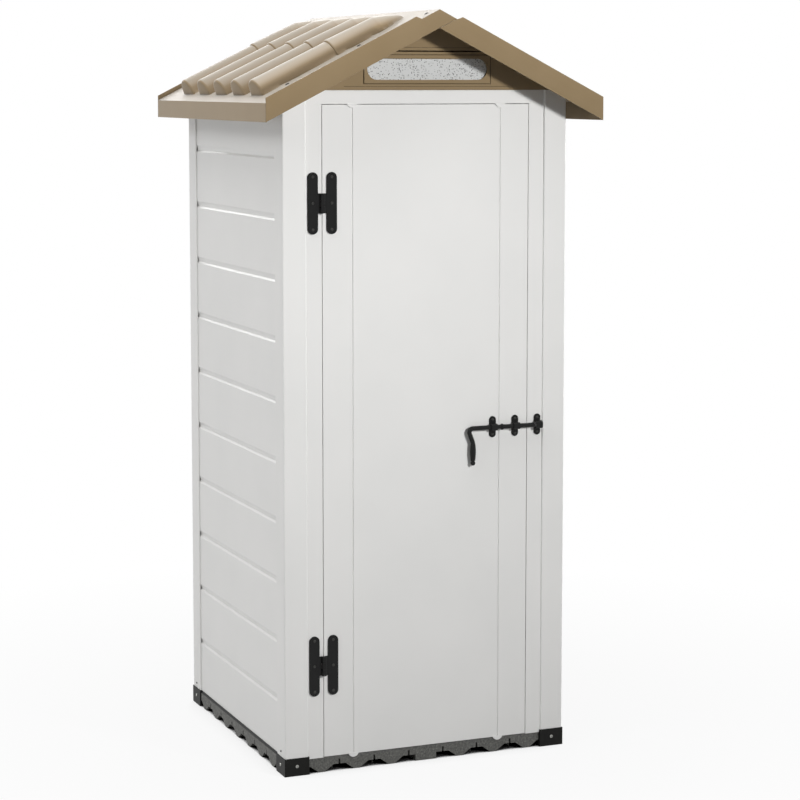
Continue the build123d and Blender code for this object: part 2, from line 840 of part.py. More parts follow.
# Staples: strips bent over the rod, with a rounded ear above and below
def staple(x, clearance):
    inner = rod_radius + clearance
    inner_crown = bolt_standoff + inner
    crown = inner_crown + staple_thickness
    with BuildPart() as strap:
        with BuildSketch(Plane(origin=(x - staple_width / 2, face_y, bolt_z), x_dir=(0, -1, 0), z_dir=(1, 0, 0))):
            RectangleRounded(2 * crown, 2 * (inner + staple_thickness), staple_bend + staple_thickness)
            Rectangle(2 * staple_thickness, staple_height)
            RectangleRounded(2 * inner_crown, 2 * inner, staple_bend, mode=Mode.SUBTRACT)
            with Locations((-crown / 2, 0)):
                Rectangle(crown, 2 * staple_height, mode=Mode.SUBTRACT)
        extrude(amount=staple_width)
        with BuildSketch(Plane(origin=(0, face_y, 0), x_dir=(1, 0, 0), z_dir=(0, -1, 0))):
            with Locations((x, bolt_z)):
                SlotOverall(staple_height, staple_width, rotation=90)
        extrude(amount=crown, mode=Mode.INTERSECT)
    return strap


save(staple(keeper_x - 2 * staple_pitch, staple_clearance), "bolt_staple_inner")
save(staple(keeper_x - staple_pitch, staple_clearance), "bolt_staple_outer")
save(staple(keeper_x, keeper_clearance), "bolt_keeper")

# Bolt: rod with a cranked handle that ends in a ball, and the stop ring in the rod's groove
tip_x = keeper_x - staple_width / 2 - tip_clearance
ring_x = keeper_x - staple_pitch - staple_width / 2 - bolt_throw - ring_margin - ring_width
elbow_x = tip_x - rod_length
grip_x = elbow_x + crank_run
grip_top = bolt_z - crank_drop
grip_bottom = grip_top - grip_length
with BuildPart() as rod:
    with BuildLine(Plane.XZ.offset(-bolt_y)) as rod_path:
        FilletPolyline(
            (tip_x, bolt_z),
            (elbow_x, bolt_z),
            (grip_x, grip_top),
            (grip_x, grip_bottom),
            radius=[elbow_radius, crank_radius],
        )
    with BuildSketch(Plane(origin=(tip_x, bolt_y, bolt_z), z_dir=(-1, 0, 0))):
        Circle(rod_radius)
    sweep(path=rod_path.line)
    tip_edge = rod.edges().filter_by(GeomType.CIRCLE).sort_by(Axis.X)[-1]
    chamfer(tip_edge, tip_chamfer)
    with BuildSketch(Plane.XZ.offset(-bolt_y)):
        with BuildLine():
            Polyline((grip_x, grip_top), (grip_x + rod_radius, grip_top))
            ThreePointArc(
                (grip_x + rod_radius, grip_top),
                (grip_x + grip_radius, (grip_top + grip_bottom) / 2),
                (grip_x + rod_radius, grip_bottom),
            )
            ball_z = grip_bottom - ball_radius
            neck_z = ball_z + (ball_radius**2 - neck_radius**2) ** 0.5
            Polyline((grip_x + rod_radius, grip_bottom), (grip_x + neck_radius, neck_z))
            ThreePointArc(
                (grip_x + neck_radius, neck_z),
                (grip_x + ball_radius, ball_z),
                (grip_x, ball_z - ball_radius),
            )
            Line((grip_x, ball_z - ball_radius), (grip_x, grip_top))
        make_face()
    revolve(axis=Axis((grip_x, bolt_y, 0), (0, 0, 1)))
    with BuildSketch(Plane.YZ.offset(ring_x - fit / 2)):
        with Locations((bolt_y, bolt_z)):
            Circle(rod_radius + 1)
            Circle(rod_radius - ring_groove, mode=Mode.SUBTRACT)
    extrude(amount=ring_width + fit, mode=Mode.SUBTRACT)
save(rod, "bolt_rod")

with BuildPart() as stop_ring:
    with BuildSketch(Plane.YZ.offset(ring_x)):
        with Locations((bolt_y, bolt_z)):
            Circle(ring_radius)
            Circle(rod_radius - ring_groove + running_fit, mode=Mode.SUBTRACT)
    extrude(amount=ring_width)
save(stop_ring, "bolt_stop_ring")


# Screw heads: low pans seated on the piece that they hold
def screw_heads(planes, radius):
    with BuildPart() as heads:
        for plane in planes:
            with BuildSketch(plane):
                RegularPolygon(radius, head_sides)
            extrude(amount=head_rise)
    return heads


def facing(point, outward, sideways=(0, 0, 1)):
    return Plane(origin=point, x_dir=sideways, z_dir=outward)


front_face = (0, -1, 0)
bracket_planes = []
post_planes = []
for side_x, side_y in corners.values():
    along_x = side_x * (half_width - bracket_size / 2)
    along_y = front_y + depth / 2 + side_y * (depth - bracket_size) / 2
    outer_y = front_y if side_y < 0 else rear_y
    bracket_planes.append(facing((along_x, outer_y, bracket_screw_z), (0, side_y, 0)))
    bracket_planes.append(facing((side_x * half_width, along_y, bracket_screw_z), (side_x, 0, 0)))
    post_planes.append(facing((side_x * post_x, along_y, post_screw_z), (side_x, 0, 0)))
save(screw_heads(bracket_planes, bracket_screw), "bracket_screws")
save(screw_heads(post_planes, post_screw), "post_screws")

for side, name in ((-1, "hinge_frame_screws"), (1, "hinge_door_screws")):
    leaf_x = pin_x + side * leaf_spacing / 2
    hinge_planes = [
        facing((leaf_x, face_y - leaf_thickness, height + step * hinge_screw_pitch), front_face)
        for height in (upper_hinge_z, lower_hinge_z)
        for step in (-1, 0, 1)
    ]
    save(screw_heads(hinge_planes, hinge_screw), name)

staple_screw_rise = (staple_height - staple_width) / 2
for name, places in (("staple_screws", (2, 1)), ("keeper_screws", (0,))):
    staple_planes = [
        facing((keeper_x - place * staple_pitch, face_y - staple_thickness, bolt_z + step * staple_screw_rise), front_face)
        for place in places
        for step in (-1, 1)
    ]
    save(screw_heads(staple_planes, staple_screw), name)

roof_planes = []
gable_screw_ys = (front_post_y + roof_screw_inset, rear_post_y - roof_screw_inset)
for side in (-1, 1):
    normal = (side * sin(slope_angle), 0, cos(slope_angle))
    for distance in roof_screw_slope:
        for y in gable_screw_ys:
            roof_planes.append(facing(slope_plane(side, distance, y).origin, normal, (0, 1, 0)))
ridge_normal = (-sin(slope_angle), 0, cos(slope_angle))
for y in (roof_front_y + ridge_screw_inset, 0, -roof_front_y - ridge_screw_inset):
    point = (-ridge_screw_run, y, roof_top(ridge_screw_run))
    roof_planes.append(facing(point, ridge_normal, (0, 1, 0)))
save(screw_heads(roof_planes, roof_screw), "roof_screws")
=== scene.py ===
import bmesh
import bpy
import math
import numpy as np
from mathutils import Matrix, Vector


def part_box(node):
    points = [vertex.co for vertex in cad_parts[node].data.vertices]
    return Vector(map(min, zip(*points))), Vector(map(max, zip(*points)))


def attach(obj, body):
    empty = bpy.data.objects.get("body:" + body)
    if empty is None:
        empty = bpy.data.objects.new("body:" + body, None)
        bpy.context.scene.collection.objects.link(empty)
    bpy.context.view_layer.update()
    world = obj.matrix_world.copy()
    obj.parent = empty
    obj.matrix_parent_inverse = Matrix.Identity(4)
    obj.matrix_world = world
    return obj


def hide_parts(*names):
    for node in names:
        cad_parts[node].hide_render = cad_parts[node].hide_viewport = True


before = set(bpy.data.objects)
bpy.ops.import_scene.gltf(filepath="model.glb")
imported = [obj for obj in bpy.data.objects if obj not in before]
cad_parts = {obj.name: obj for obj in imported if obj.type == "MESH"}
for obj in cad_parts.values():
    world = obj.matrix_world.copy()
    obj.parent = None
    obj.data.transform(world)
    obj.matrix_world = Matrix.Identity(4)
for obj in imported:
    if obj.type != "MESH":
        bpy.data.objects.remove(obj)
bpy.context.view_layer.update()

# Floor tiles
# Two injection-moulded tiles of recycled polypropylene, laid side by side on lobed feet.
# The regrind leaves pale and dark flecks in the grey, and the mould leaves a matt skin.


def linear(hex_colour):
    """An sRGB hex colour as the linear colour that a shader takes."""
    channels = [int(hex_colour[i : i + 2], 16) / 255 for i in (1, 3, 5)]
    return [c / 12.92 if c <= 0.04045 else ((c + 0.055) / 1.055) ** 2.4 for c in channels] + [1.0]


def add(tree, kind, settings={}, links={}):
    """A node of that kind: settings are its properties or inputs, links the outputs that feed its inputs."""
    made = tree.nodes.new(kind)
    for key, value in settings.items():
        if isinstance(key, str) and hasattr(made, key):
            setattr(made, key, value)
        else:
            made.inputs[key].default_value = value
    for key, source in links.items():
        tree.links.new(source, made.inputs[key])
    return made


def start_material(name):
    """A new material with an empty tree, and its Object coordinates."""
    material = bpy.data.materials.new(name)
    material.use_nodes = True
    tree = material.node_tree
    tree.nodes.clear()
    place = add(tree, "ShaderNodeTexCoord").outputs["Object"]
    return material, tree, place


def dress(material, *names):
    """Gives CAD nodes a material in place of the one that they came with."""
    for name in names:
        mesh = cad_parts[name].data
        mesh.materials.clear()
        mesh.materials.append(material)


regrind, tree, place = start_material("recycled polypropylene, moulded, grey")
fleck = add(
    tree,
    "ShaderNodeTexNoise",
    {"Scale": 1000 / 5.0, "Detail": 4.0, "Roughness": 0.7},
    {"Vector": place},
)
fleck_tone = add(tree, "ShaderNodeValToRGB", {}, {"Fac": fleck.outputs["Fac"]})
stops = fleck_tone.color_ramp.elements
stops[0].position, stops[0].color = 0.34, linear("#4A4A48")
stops[1].position, stops[1].color = 0.74, linear("#878782")
middle = stops.new(0.52)
middle.color = linear("#5F5F5C")
cloud = add(tree, "ShaderNodeTexNoise", {"Scale": 1000 / 60.0, "Detail": 2.0}, {"Vector": place})
# The real matt skin is finer than this; it is drawn at 1.6 mm so that it shows.
skin = add(tree, "ShaderNodeTexNoise", {"Scale": 1000 / 1.6, "Detail": 3.0}, {"Vector": place})
grain = add(tree, "ShaderNodeBump", {"Strength": 0.35, "Distance": 0.0004}, {"Height": skin.outputs["Fac"]})
dull = add(tree, "ShaderNodeMapRange", {"To Min": 0.6, "To Max": 0.8}, {"Value": cloud.outputs["Fac"]})
surface = add(
    tree,
    "ShaderNodeBsdfPrincipled",
    {"IOR": 1.49},
    {
        "Base Color": fleck_tone.outputs["Color"],
        "Roughness": dull.outputs["Result"],
        "Normal": grain.outputs["Normal"],
    },
)
add(tree, "ShaderNodeOutputMaterial", {}, {"Surface": surface.outputs["BSDF"]})
dress(regrind, "floor_tile_left", "floor_tile_right")

# Corner brackets and base rails
# Moulded cups of black polypropylene that hold the posts' feet, and channels between them for the boards.
# The mould was spark-eroded, so the faces are finely matt, and the edges are eased enough to catch the light.

black_polypropylene, tree, place = start_material("polypropylene, moulded, black")
# Spark erosion leaves pits of about 0.1 mm; they are drawn at 1.2 mm so that they show.
spark = add(tree, "ShaderNodeTexNoise", {"Scale": 1000 / 1.2, "Detail": 3.0}, {"Vector": place})
tone = add(tree, "ShaderNodeTexNoise", {"Scale": 1000 / 18.0, "Detail": 3.0}, {"Vector": place})
shade = add(
    tree,
    "ShaderNodeMix",
    {"data_type": "RGBA", 6: linear("#0D0D0C"), 7: linear("#1A1A18")},
    {0: tone.outputs["Fac"]},
)
grain = add(tree, "ShaderNodeBump", {"Strength": 0.3, "Distance": 0.0003}, {"Height": spark.outputs["Fac"]})
edge = add(tree, "ShaderNodeBevel", {"samples": 4, "Radius": 0.0012}, {"Normal": grain.outputs["Normal"]})
surface = add(
    tree,
    "ShaderNodeBsdfPrincipled",
    {"IOR": 1.49, "Roughness": 0.48, "Specular IOR Level": 0.15},
    {"Base Color": shade.outputs[2], "Normal": edge.outputs["Normal"]},
)
add(tree, "ShaderNodeOutputMaterial", {}, {"Surface": surface.outputs["BSDF"]})
dress(
    black_polypropylene,
    "bracket_front_left",
    "bracket_front_right",
    "bracket_rear_left",
    "bracket_rear_right",
    "side_base_rails",
    "rear_base_rail",
)

# Posts, rails and door frame
# White PVC extrusions: the posts stand in the brackets, and the frame is screwed between the front posts.
# The die leaves faint lines along each piece and a satin skin, and the cut edges are slightly eased.


def extruded_pvc(name, stretch):
    """Satin white PVC whose faint die lines run along the axis that stretch leaves at a low scale."""
    material, tree, place = start_material(name)
    along = add(tree, "ShaderNodeMapping", {"Scale": stretch}, {"Vector": place})
    # Real die lines lie closer together; they are drawn at 4 mm so that they show.
    lines = add(
        tree,
        "ShaderNodeTexNoise",
        {"Scale": 1000 / 4.0, "Detail": 2.0},
        {"Vector": along.outputs["Vector"]},
    )
    cloud = add(tree, "ShaderNodeTexNoise", {"Scale": 1000 / 220.0, "Detail": 3.0}, {"Vector": place})
    tint = add(
        tree,
        "ShaderNodeMix",
        {"data_type": "RGBA", 6: linear("#E3E3E1"), 7: linear("#ECEBE9")},
        {0: cloud.outputs["Fac"]},
    )
    satin = add(tree, "ShaderNodeMapRange", {"To Min": 0.34, "To Max": 0.46}, {"Value": lines.outputs["Fac"]})
    groove = add(
        tree,
        "ShaderNodeBump",
        {"Strength": 0.06, "Distance": 0.0005},
        {"Height": lines.outputs["Fac"]},
    )
    edge = add(
        tree,
        "ShaderNodeBevel",
        {"samples": 4, "Radius": 0.0005},
        {"Normal": groove.outputs["Normal"]},
    )
    surface = add(
        tree,
        "ShaderNodeBsdfPrincipled",
        {"IOR": 1.53},
        {
            "Base Color": tint.outputs[2],
            "Roughness": satin.outputs["Result"],
            "Normal": edge.outputs["Normal"],
        },
    )
    add(tree, "ShaderNodeOutputMaterial", {}, {"Surface": surface.outputs["BSDF"]})
    return material


upright_pvc = extruded_pvc("rigid PVC, extruded upright, white", (1.0, 1.0, 0.01))
cross_pvc = extruded_pvc("rigid PVC, extruded across, white", (0.01, 1.0, 1.0))
side_pvc = extruded_pvc("rigid PVC, extruded front to rear, white", (1.0, 0.01, 1.0))
dress(upright_pvc, "post_front_left", "post_front_right", "post_rear_left", "post_rear_right")
dress(upright_pvc, "left_jamb", "right_jamb")
dress(cross_pvc, "lintel", "rear_top_rail")
dress(side_pvc, "left_top_rail", "right_top_rail")

# Wall boards
# Hollow white PVC boards with a tongue and a groove, slid down between the posts one on the other.
# Each has a coved lower edge, which shows as a soft shadow line at the joint.

left_boards = 11
dress(side_pvc, *[f"left_board_{row:02d}" for row in range(1, left_boards + 1)], "right_wall_boards")
dress(cross_pvc, "rear_wall_boards")

# Gables
# Tan polypropylene shells screwed under the roof's ends, moulded with a raised frame round the window.
# The mould gives a fine leather-like grain; what faces up is painted paler as a sheen, and painted shade
# darkens the nooks.

tan_polypropylene, tree, place = start_material("polypropylene, moulded and grained, tan")
cloud = add(tree, "ShaderNodeTexNoise", {"Scale": 1000 / 90.0, "Detail": 3.0}, {"Vector": place})
tint = add(
    tree,
    "ShaderNodeMix",
    {"data_type": "RGBA", 6: linear("#867356"), 7: linear("#907D60")},
    {0: cloud.outputs["Fac"]},
)
# Faces that look up are mixed towards a pale grey-tan: a painted sheen that stands for the light they catch.
outward = add(tree, "ShaderNodeTexCoord").outputs["Normal"]
upward = add(tree, "ShaderNodeSeparateXYZ", {}, {"Vector": outward})
painted_sheen_mask = add(
    tree,
    "ShaderNodeMapRange",
    {"From Min": 0.5, "From Max": 0.87, "To Min": 0.0, "To Max": 1.0},
    {"Value": upward.outputs["Z"]},
)
painted_sheen = add(
    tree,
    "ShaderNodeMix",
    {"data_type": "RGBA", 7: linear("#A3998B")},
    {0: painted_sheen_mask.outputs["Result"], 6: tint.outputs[2]},
)
# Where occlusion is high, in grooves, nooks and at the barrels' feet, the colour is darkened towards dark
# brown: painted shade.
nook = add(tree, "ShaderNodeAmbientOcclusion", {"samples": 6, "Distance": 0.015})
painted_shade_mask = add(
    tree,
    "ShaderNodeMapRange",
    {"From Min": 0.35, "From Max": 0.85, "To Min": 0.7, "To Max": 0.0},
    {"Value": nook.outputs["AO"]},
)
painted_sheen_and_shade = add(
    tree,
    "ShaderNodeMix",
    {"data_type": "RGBA", 7: linear("#2E261B")},
    {0: painted_shade_mask.outputs["Result"], 6: painted_sheen.outputs[2]},
)
# The real grain is about 0.5 mm; it is drawn at 2.2 mm so that it shows.
pits = add(tree, "ShaderNodeTexNoise", {"Scale": 1000 / 2.2, "Detail": 3.0}, {"Vector": place})
grain = add(tree, "ShaderNodeBump", {"Strength": 0.1, "Distance": 0.0003}, {"Height": pits.outputs["Fac"]})
satin = add(tree, "ShaderNodeMapRange", {"To Min": 0.56, "To Max": 0.66}, {"Value": pits.outputs["Fac"]})
surface = add(
    tree,
    "ShaderNodeBsdfPrincipled",
    {"IOR": 1.5, "Specular IOR Level": 0.45, "Sheen Weight": 1.0, "Sheen Roughness": 0.25},
    {"Base Color": painted_sheen_and_shade.outputs[2], "Roughness": satin.outputs["Result"], "Normal": grain.outputs["Normal"]},
)
add(tree, "ShaderNodeOutputMaterial", {}, {"Surface": surface.outputs["BSDF"]})
dress(tan_polypropylene, "front_gable", "rear_gable")

# Window panes
# A rolled sheet of pebbled polystyrene, clipped behind the window of each gable.
# It is milky, with dark glints painted on it where the pebbles meet, as painted shade.

pebbled_styrene, tree, place = start_material("polystyrene sheet, pebbled")
pebble = add(tree, "ShaderNodeTexVoronoi", {"Scale": 1000 / 4.2, "Randomness": 1.0}, {"Vector": place})
spread = add(tree, "ShaderNodeTexNoise", {"Scale": 1000 / 40.0, "Detail": 2.0}, {"Vector": place})
pick = add(tree, "ShaderNodeSeparateColor", {}, {"Color": pebble.outputs["Color"]})
share = add(
    tree,
    "ShaderNodeMapRange",
    {"From Min": 0.35, "From Max": 0.65, "To Min": 0.25, "To Max": 0.85},
    {"Value": spread.outputs["Fac"]},
)
chosen = add(tree, "ShaderNodeMath", {"operation": "LESS_THAN"}, {0: pick.outputs[0], 1: share.outputs[0]})
size = add(tree, "ShaderNodeMapRange", {"To Min": 0.25, "To Max": 0.5}, {"Value": pick.outputs[1]})
inside = add(
    tree,
    "ShaderNodeMath",
    {"operation": "LESS_THAN"},
    {0: pebble.outputs["Distance"], 1: size.outputs[0]},
)
speck = add(tree, "ShaderNodeMath", {"operation": "MULTIPLY"}, {0: chosen.outputs[0], 1: inside.outputs[0]})
weight = add(tree, "ShaderNodeMapRange", {"To Min": 0.3, "To Max": 1.0}, {"Value": pick.outputs[2]})
depth = add(tree, "ShaderNodeMath", {"operation": "MULTIPLY"}, {0: speck.outputs[0], 1: weight.outputs[0]})
# Chosen pebbles are painted near black: painted shade that stands for the dark glints among the pebbles.
painted_dark_glint = add(
    tree,
    "ShaderNodeMix",
    {"data_type": "RGBA", 6: linear("#CDCECD"), 7: linear("#202020")},
    {0: depth.outputs[0]},
)
bulge = add(
    tree,
    "ShaderNodeBump",
    {"Strength": 0.2, "Distance": 0.0005},
    {"Height": pebble.outputs["Distance"]},
)
surface = add(
    tree,
    "ShaderNodeBsdfPrincipled",
    {"IOR": 1.59, "Roughness": 0.3},
    {"Base Color": painted_dark_glint.outputs[2], "Normal": bulge.outputs["Normal"]},
)
add(tree, "ShaderNodeOutputMaterial", {}, {"Surface": surface.outputs["BSDF"]})
dress(pebbled_styrene, "front_window_pane", "rear_window_pane")

# Roof panels
# Two moulded tan panels with barrel tiles in two courses; the left one laps over the right at the ridge.
# Each is one shell: sheet, barrels with eased lower ends, and deep fascias with a rim at front and rear.

roof_slope = 0.504  # rise over run
run, climb = math.cos(math.atan(roof_slope)), math.sin(math.atan(roof_slope))
ridge_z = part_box("roof_panel_left")[1].z
eave_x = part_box("roof_panel_right")[1].x
roof_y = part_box("roof_panel_left")[1].y
slope_length = eave_x / run
sheet_thickness = 0.003
sheet_inset = 0.0006  # of its ends, from the outer faces of the front and rear fascias
grid_step, grid_columns = 0.006, 321

barrel_pitch, barrel_shift = 0.150, -0.006
barrel_rows = [barrel_shift + row * barrel_pitch for row in (-2, -1, 0, 1, 2)]
barrel_crown = 0.043
barrel_depth = 0.008  # of its axis, below the sheet
barrel_start = 0.041  # up the slope from the eave
end_lean, end_root = 0.0012, 0.02
foot_fillet = 0.006
lower_end_radius, upper_end_radius = 0.006, 0.003
buried = -0.05  # the crown of a course where there is none of it

step_from_ridge = 0.262  # where the upper course starts
step_lean, step_root = 0.0008, 0.032
lapped_length, lapped_crown = 0.008, 0.039  # the lower course's end under the upper one
run_out = (  # distance from the ridge, crown of the upper course there
    (0.116, 0.038),
    (0.098, 0.0325),
    (0.080, 0.0260),
    (0.062, 0.0185),
    (0.048, 0.0122),
    (0.040, 0.0075),
    (0.037, 0.0),
)
right_setback = 0.018  # keeps the right panel's barrels clear of the lap

fascia_drop, fascia_thickness, fascia_ease = 0.0483, 0.003, 0.0009
fascia_gap = 0.00025
rim_height, rim_end_x, rim_foot_x = 0.0136, 0.0657, 0.0497
eave_lip = 0.001
lap_x = fascia_drop / (2 * roof_slope)
lap_gap = 0.0003
joggle_drop, joggle_run = 0.0036, 0.001  # the right panel's step down under the lap


def rounded(start, top, radius, steps=6):
    """Points of a barrel's eased lower end: a steep face, then a quarter round up to its crown."""
    points = [(start - end_lean, -end_root), (start, top - radius)]
    for step in range(1, steps + 1):
        angle = step / steps * math.pi / 2
        points.append((start + radius * (1 - math.cos(angle)), top - radius + radius * math.sin(angle)))
    return points


def roof_skin(side):
    """Grid points of one panel's upper face, rows up the slope and columns in Y, and each row's way out."""
    setback = right_setback if side > 0 else 0.0
    step = slope_length - step_from_ridge
    lower = rounded(barrel_start, barrel_crown, lower_end_radius) + [(step + lapped_length, lapped_crown)]
    upper = [(step - step_lean, step_root)] + rounded(step, barrel_crown, upper_end_radius, 4)[1:]
    upper += [(slope_length - distance - setback, height) for distance, height in run_out]
    end = slope_length + lap_x / run if side < 0 else slope_length - lap_gap
    joggle = slope_length - (lap_x + lap_gap) / run
    lines = {round(point[0], 6) for point in lower + upper}
    lines |= {round(s, 6) for s in np.arange(0, end, grid_step)} | {0.0, round(end, 6)}
    lines |= {round(slope_length, 6)} if side < 0 else {round(joggle, 6), round(joggle + joggle_run, 6)}
    lines = np.array(sorted(s for s in lines if s <= end + 1e-6))
    crown_lower = np.interp(lines, *zip(*lower), left=buried, right=buried)
    crown_upper = np.interp(lines, *zip(*upper), left=buried, right=buried)
    crown = np.maximum(crown_lower, crown_upper)[:, None]
    across = np.linspace(-roof_y + sheet_inset, roof_y - sheet_inset, grid_columns)
    offset = np.min(np.abs(across[:, None] - np.array(barrel_rows)[None, :]), axis=1)[None, :]
    radius = crown + barrel_depth
    arc = np.sqrt(np.maximum(radius**2 * (radius > 0) - offset**2, 0)) - barrel_depth
    blend = np.maximum(foot_fillet - np.abs(arc), 0) / foot_fillet
    height = np.maximum(arc, 0) + blend**2 * foot_fillet / 4
    far = lines > slope_length + 1e-6
    sign = np.where(far, -side, side)
    x = np.where(far, -side * (lines - slope_length) * run, side * (eave_x - lines * run))
    z = np.where(far, ridge_z - (lines - slope_length) * climb, ridge_z - (slope_length - lines) * climb)
    if side > 0:
        height = height - np.where(lines > joggle + joggle_run / 2, joggle_drop, 0.0)[:, None]
    at_ridge = np.abs(lines - slope_length) < 1e-5
    normal_x = sign * climb * np.where(at_ridge, 0, 1)
    normal_z = np.where(at_ridge, 1.0, run)
    grid = np.zeros((len(lines), len(across), 3))
    grid[..., 0] = x[:, None] + normal_x[:, None] * height
    grid[..., 1] = across[None, :]
    grid[..., 2] = z[:, None] + normal_z[:, None] * height
    direction = np.stack([normal_x, 0 * normal_x, normal_z], axis=1)
    return grid, direction


def shell_from_grid(bm, grid, direction, thickness):
    """Closes a grid into a shell of that thickness below its upper face."""
    rows, columns = grid.shape[:2]
    under = grid - direction[:, None, :] * thickness
    top = [[bm.verts.new(p) for p in line] for line in grid]
    low = [[bm.verts.new(p) for p in line] for line in under]
    for i in range(rows - 1):
        for j in range(columns - 1):
            bm.faces.new((top[i][j], top[i][j + 1], top[i + 1][j + 1], top[i + 1][j]))
            bm.faces.new((low[i][j], low[i + 1][j], low[i + 1][j + 1], low[i][j + 1]))
    for i in range(rows - 1):
        bm.faces.new((top[i][0], top[i + 1][0], low[i + 1][0], low[i][0]))
        bm.faces.new((top[i + 1][-1], top[i][-1], low[i][-1], low[i + 1][-1]))
    for j in range(columns - 1):
        bm.faces.new((top[0][j + 1], top[0][j], low[0][j], low[0][j + 1]))
        bm.faces.new((top[-1][j], top[-1][j + 1], low[-1][j + 1], low[-1][j]))


def slab(bm, outline, front_y, back_y, ease, steps=3):
    """A plate with that outline in X and Z, from front_y back to back_y, with its edges eased."""
    front = [bm.verts.new((x, front_y, z)) for x, z in outline]
    back = [bm.verts.new((x, back_y, z)) for x, z in outline]
    faces = [bm.faces.new(front), bm.faces.new(back[::-1])]
    count = len(outline)
    for i in range(count):
        faces.append(bm.faces.new((front[i], back[i], back[(i + 1) % count], front[(i + 1) % count])))
    bmesh.ops.recalc_face_normals(bm, faces=faces)
    if ease:
        rims = [edge for face in faces[:2] for edge in face.edges]
        bmesh.ops.bevel(bm, geom=rims, offset=ease, segments=steps, profile=0.5, affect="EDGES")


def finish_piece(bm, name, material, sharp_angle=35):
    """Makes a mesh object of the geometry, smooth but for edges over that angle."""
    bmesh.ops.recalc_face_normals(bm, faces=bm.faces)
    for face in bm.faces:
        face.smooth = True
    for edge in bm.edges:
        edge.smooth = len(edge.link_faces) == 2 and edge.calc_face_angle(0) < math.radians(sharp_angle)
    mesh = bpy.data.meshes.new(name)
    bm.to_mesh(mesh)
    bm.free()
    mesh.materials.append(material)
    piece = bpy.data.objects.new(name, mesh)
    bpy.context.scene.collection.objects.link(piece)
    return piece


def roof_top(x):
    """Height of the sheet's upper face at that distance from the ridge line."""
    return ridge_z - roof_slope * abs(x)


def fascia_outline(side):
    """A fascia seen from the front; the left one runs over the ridge and meets the right one edge to edge."""
    eave, rim_end, rim_foot = side * eave_x, side * rim_end_x, side * rim_foot_x
    outline = [
        (eave, roof_top(eave) - fascia_drop),
        (eave, roof_top(eave) + rim_height),
        (rim_end, roof_top(rim_end) + rim_height),
        (rim_foot, roof_top(rim_foot)),
    ]
    if side < 0:
        return outline + [(0, ridge_z), (lap_x, roof_top(lap_x))]
    edge_x = lap_x + fascia_gap
    return outline + [
        (edge_x, roof_top(edge_x) - fascia_gap),
        (fascia_gap, roof_top(fascia_gap) - fascia_drop),
    ]


for side, name in ((-1, "left"), (1, "right")):
    bm = bmesh.new()
    grid, direction = roof_skin(side)
    shell_from_grid(bm, grid, direction, sheet_thickness)
    for front_y, back_y in ((-roof_y, -roof_y + fascia_thickness), (roof_y - fascia_thickness, roof_y)):
        slab(bm, fascia_outline(side), front_y, back_y, fascia_ease)
    eave = side * eave_x
    eave_back = eave - side * fascia_thickness
    eave_face = [
        (eave, roof_top(eave) - fascia_drop),
        (eave, roof_top(eave)),
        (eave_back, roof_top(eave) + eave_lip),
        (eave_back, roof_top(eave) - fascia_drop),
    ]
    slab(bm, eave_face, -roof_y + sheet_inset, roof_y - sheet_inset, 0.0)
    panel = finish_piece(bm, f"tile_panel_{name}", tan_polypropylene)
    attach(panel, "shed")
    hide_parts(f"roof_panel_{name}")

# Door
# Three hollow white PVC panels joined by two strips, whose half-round caps show at top and bottom.
# The joints are chamfered, so each shows as a fine upright line.

dress(
    upright_pvc,
    "door_left_panel",
    "door_centre_panel",
    "door_right_panel",
    "door_left_joiner",
    "door_right_joiner",
)

# Hinges
# H-shaped surface hinges of pressed steel, powder coated black, with rounded leaves.
# Powder coat flows out to a fine orange peel and thins a little at the edges.

powder_coat, tree, place = start_material("steel, powder coated, black")
peel = add(tree, "ShaderNodeTexNoise", {"Scale": 1000 / 1.0, "Detail": 2.0}, {"Vector": place})
tone = add(tree, "ShaderNodeTexNoise", {"Scale": 1000 / 25.0, "Detail": 3.0}, {"Vector": place})
shade = add(
    tree,
    "ShaderNodeMix",
    {"data_type": "RGBA", 6: linear("#0F0F0F"), 7: linear("#191919")},
    {0: tone.outputs["Fac"]},
)
orange_peel = add(
    tree,
    "ShaderNodeBump",
    {"Strength": 0.2, "Distance": 0.0002},
    {"Height": peel.outputs["Fac"]},
)
edge = add(
    tree,
    "ShaderNodeBevel",
    {"samples": 4, "Radius": 0.0009},
    {"Normal": orange_peel.outputs["Normal"]},
)
surface = add(
    tree,
    "ShaderNodeBsdfPrincipled",
    {"IOR": 1.5, "Roughness": 0.5, "Specular IOR Level": 0.2},
    {"Base Color": shade.outputs[2], "Normal": edge.outputs["Normal"]},
)
add(tree, "ShaderNodeOutputMaterial", {}, {"Surface": surface.outputs["BSDF"]})
dress(
    powder_coat,
    "upper_hinge_frame_leaf",
    "upper_hinge_door_leaf",
    "upper_hinge_pin",
    "lower_hinge_frame_leaf",
    "lower_hinge_door_leaf",
    "lower_hinge_pin",
)

# Bolt
# A round steel rod with a cranked handle, in strap staples, all powder coated black as the hinges are.
# Two staples hold it on the door, and it shoots into a third, the keeper, on the jamb.

dress(powder_coat, "bolt_rod", "bolt_stop_ring", "bolt_staple_inner", "bolt_staple_outer", "bolt_keeper")

# Screws
# Pan-head steel screws with a cross recess: bright zinc in the brackets, blackened everywhere else.
# The heads are cold formed, so their rims are rounded, and each is driven to an angle of its own.


